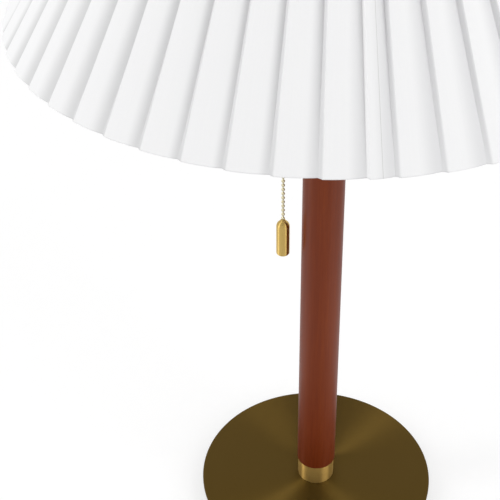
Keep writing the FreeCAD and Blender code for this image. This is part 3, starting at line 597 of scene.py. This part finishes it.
def fold_height(share):
    """How far the paper stands above its valleys, from 0 to 1, across one pleat."""
    if share <= FOLD_SHARE:
        return share / FOLD_SHARE
    return 1 - ((share - FOLD_SHARE) / (1 - FOLD_SHARE)) ** FACE_CURVE


def sheet_line(level, depth):
    """Corners of the folded sheet once round at a share of the shade's height, in metres."""
    crest = RIM_CREST - TAPER * level * HEIGHT
    corners = []
    for number in range(PLEATS):
        width = PLEAT_WIDTH if number else SEAM_WIDTH
        start = SEAM_START + (SEAM_WIDTH + (number - 1) * PLEAT_WIDTH if number else 0.0)
        for share in ACROSS:
            even = math.radians(start + share * width)
            azimuth = even + SLACK * math.sin(even + SLACK * math.sin(even))
            reach = crest - depth * (1 - fold_height(share))
            corners.append(Vector((reach * math.sin(azimuth), -reach * math.cos(azimuth),
                                   RIM_Z + level * HEIGHT)) / 1000)
    return corners


paper_sheet = bmesh.new()
line = [paper_sheet.verts.new(corner) for corner in sheet_line(*UPWARD[0])]
hem = [paper_sheet.edges.new(pair) for pair in zip(line, line[1:] + line[:1])]
for level, depth in UPWARD[1:]:
    raised = bmesh.ops.extrude_edge_only(paper_sheet, edges=hem)["geom"]
    grown = {item for item in raised if isinstance(item, bmesh.types.BMVert)}
    hem = [item for item in raised if isinstance(item, bmesh.types.BMEdge) and set(item.verts) <= grown]
    line = [next(edge.other_vert(corner) for edge in corner.link_edges if edge.other_vert(corner) in grown)
            for corner in line]
    for corner, goal in zip(line, sheet_line(level, depth)):
        corner.co = goal
bmesh.ops.recalc_face_normals(paper_sheet, faces=paper_sheet.faces)
white_paper, tap, shader = finish("pleated_paper", (0.90, 0.90, 0.90), 0.75)
x, y, z = axes(tap)
turn = tap.sum("ARCTAN2", x, 0 - y)
ribs = tap.node("CombineXYZ", inputs={0: turn * 260.0, 1: z * 14.0})
laid = tap.node("TexNoise", inputs={"Vector": ribs, "Scale": 1.0, "Detail": 2.0})
threads = tap.node("CombineXYZ", inputs={0: turn * 24.0, 1: z * 900.0})
slubs = tap.node("TexNoise", inputs={"Vector": threads, "Scale": 1.0, "Detail": 3.0})
fleck = grained(tap, 900.0, 3.0)

# Painted shade: the paper's colour is greyed over each face's roll into the next valley and along its
# steep fold, where the pleats fall into shade. The grey is darker on one side of the shade, and its bands
# change in width round it.
even = (turn - SLACK * tap.sum("SINE", turn)) * (180 / math.pi) - SEAM_START
pleat_share = tap.sum("FRACT", (even - SEAM_WIDTH * tap.sum("GREATER_THAN", even))
                      * (1 / PLEAT_WIDTH))
# Painted shade: where the grey band begins across each pleat, which changes round the shade.
painted_shade_start = 0.60 - 0.16 * tap.sum("SINE", 5.0 * turn - math.radians(10.0))
# Painted shade masks: over the face's roll into the valley, and on the steep fold.
rolled = tap.node("MapRange", {"interpolation_type": "SMOOTHSTEP"},
                  {0: pleat_share, 1: painted_shade_start, 2: 0.97})
risen = tap.node("MapRange", {"interpolation_type": "SMOOTHSTEP"},
                 {0: pleat_share, 1: FOLD_SHARE * 1.2, 2: FOLD_SHARE * 0.6})
painted_fold_shade = tap.sum("MAXIMUM", rolled, risen)
# Painted shade: the grey in the folds is darker on one side of the shade than on the other.
painted_side_shade = 0.5 - 0.5 * tap.sum("SINE", turn + math.radians(40.0))
# Painted shadow: a thin grey line along the overlap's edge at the seam.
painted_seam_shadow = tap.node("Math", {"operation": "COMPARE"}, {0: even, 1: SEAM_WIDTH * 0.56, 2: 0.05})
paper_tone = mixed(tap, laid * 0.6 + fleck * 0.4, (0.890, 0.890, 0.895), (0.925, 0.925, 0.930))
# The grey of the painted shade in the folds.
painted_shade_colour = mixed(tap, painted_side_shade, (0.76, 0.76, 0.77), (0.66, 0.66, 0.66))
feed(tap, shader,
     Base_Color=mixed(tap, painted_seam_shadow, mixed(tap, painted_fold_shade, paper_tone, painted_shade_colour), (0.66, 0.66, 0.65)),
     Normal=relief(tap, laid * 0.6 + slubs * 0.3 + fleck * 0.2, 0.22, 0.0002))
shade = made(paper_sheet, "pleated_paper_shade", white_paper, "shade",
             ("pleated_shade",), 35.0)
wall = shade.modifiers.new("paper", "SOLIDIFY")
wall.thickness = SHEET / 1000
wall.offset = -1.0

# ---- shade frame --------------------------------------------------------------------
# Two rings of white enamelled wire stiffen rim and top; three straight arms run from the
# upper one to a pierced washer that drops over the harp's post.
white_enamel, tap, shader = finish("white_enamel", (0.85, 0.85, 0.83), 0.3)
coat = grained(tap, 500.0, 3.0)
feed(tap, shader, Base_Color=mixed(tap, coat, (0.80, 0.80, 0.78), (0.88, 0.88, 0.86)),
     Roughness=0.25 + 0.15 * coat)
SECTION_REACH = 2.075
WIRE = 1.5
for name, node in (("rim_ring", "shade_bottom_ring"), ("top_ring", "shade_top_ring")):
    low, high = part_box(node)
    radius = high.x * 1000 - SECTION_REACH
    middle = (low.z + high.z) * 500
    ring = spun(node, [(radius + WIRE * math.cos(math.radians(turn)),
                        middle + WIRE * math.sin(math.radians(turn)))
                       for turn in range(0, 360, 30)], 160)
    made(ring, name, white_enamel, "shade", (node,), 80.0)
spider = spun("shade_spider", [(3.2, 536.57), (16.0, 536.57), (16.0, 538.57), (3.2, 538.57)], 64)
eased(spider, 0.4, 3)
top_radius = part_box("shade_top_ring")[1].x - SECTION_REACH / 1000
for spoke in (90, 210, 330):
    outward = Vector((math.cos(math.radians(spoke)), math.sin(math.radians(spoke)), 0.0))
    start = outward * 0.013 + Vector((0, 0, 0.53757))
    end = outward * top_radius + Vector((0, 0, 0.5469))
    rod = bmesh.ops.create_cone(spider, cap_ends=True, segments=20, radius1=0.0013,
                                radius2=0.0013, depth=(end - start).length)["verts"]
    bmesh.ops.rotate(spider, verts=rod, matrix=(end - start).to_track_quat("Z", "Y").to_matrix())
    bmesh.ops.translate(spider, verts=rod, vec=(start + end) / 2)
made(spider, "spider_fitter", white_enamel, "shade", ("shade_spider",))

# ---- finial -------------------------------------------------------------------------
# A turned and polished brass knob, screwed on the post over the washer: flanged foot,
# slim neck and ball.
knob = [(3.15, 538.57), (7.2, 538.57), (7.2, 540.17), (4.4, 541.57)]
knob += [(7.5 * math.cos(math.radians(turn)), 549.64 + 7.5 * math.sin(math.radians(turn)))
         for turn in range(-54, 90, 9)] + [(0.0, 557.14)]
knob += [(0.0, 551.07), (3.15, 551.07)]
finial = spun("finial", knob, 72)
eased(finial, 0.4, 3, 538.0, 542.0, 30.0, 4.0)
made(finial, "finial_knob", polished_brass, "finial", ("finial",), 50.0)

bpy.context.scene.view_settings.view_transform = "Standard"
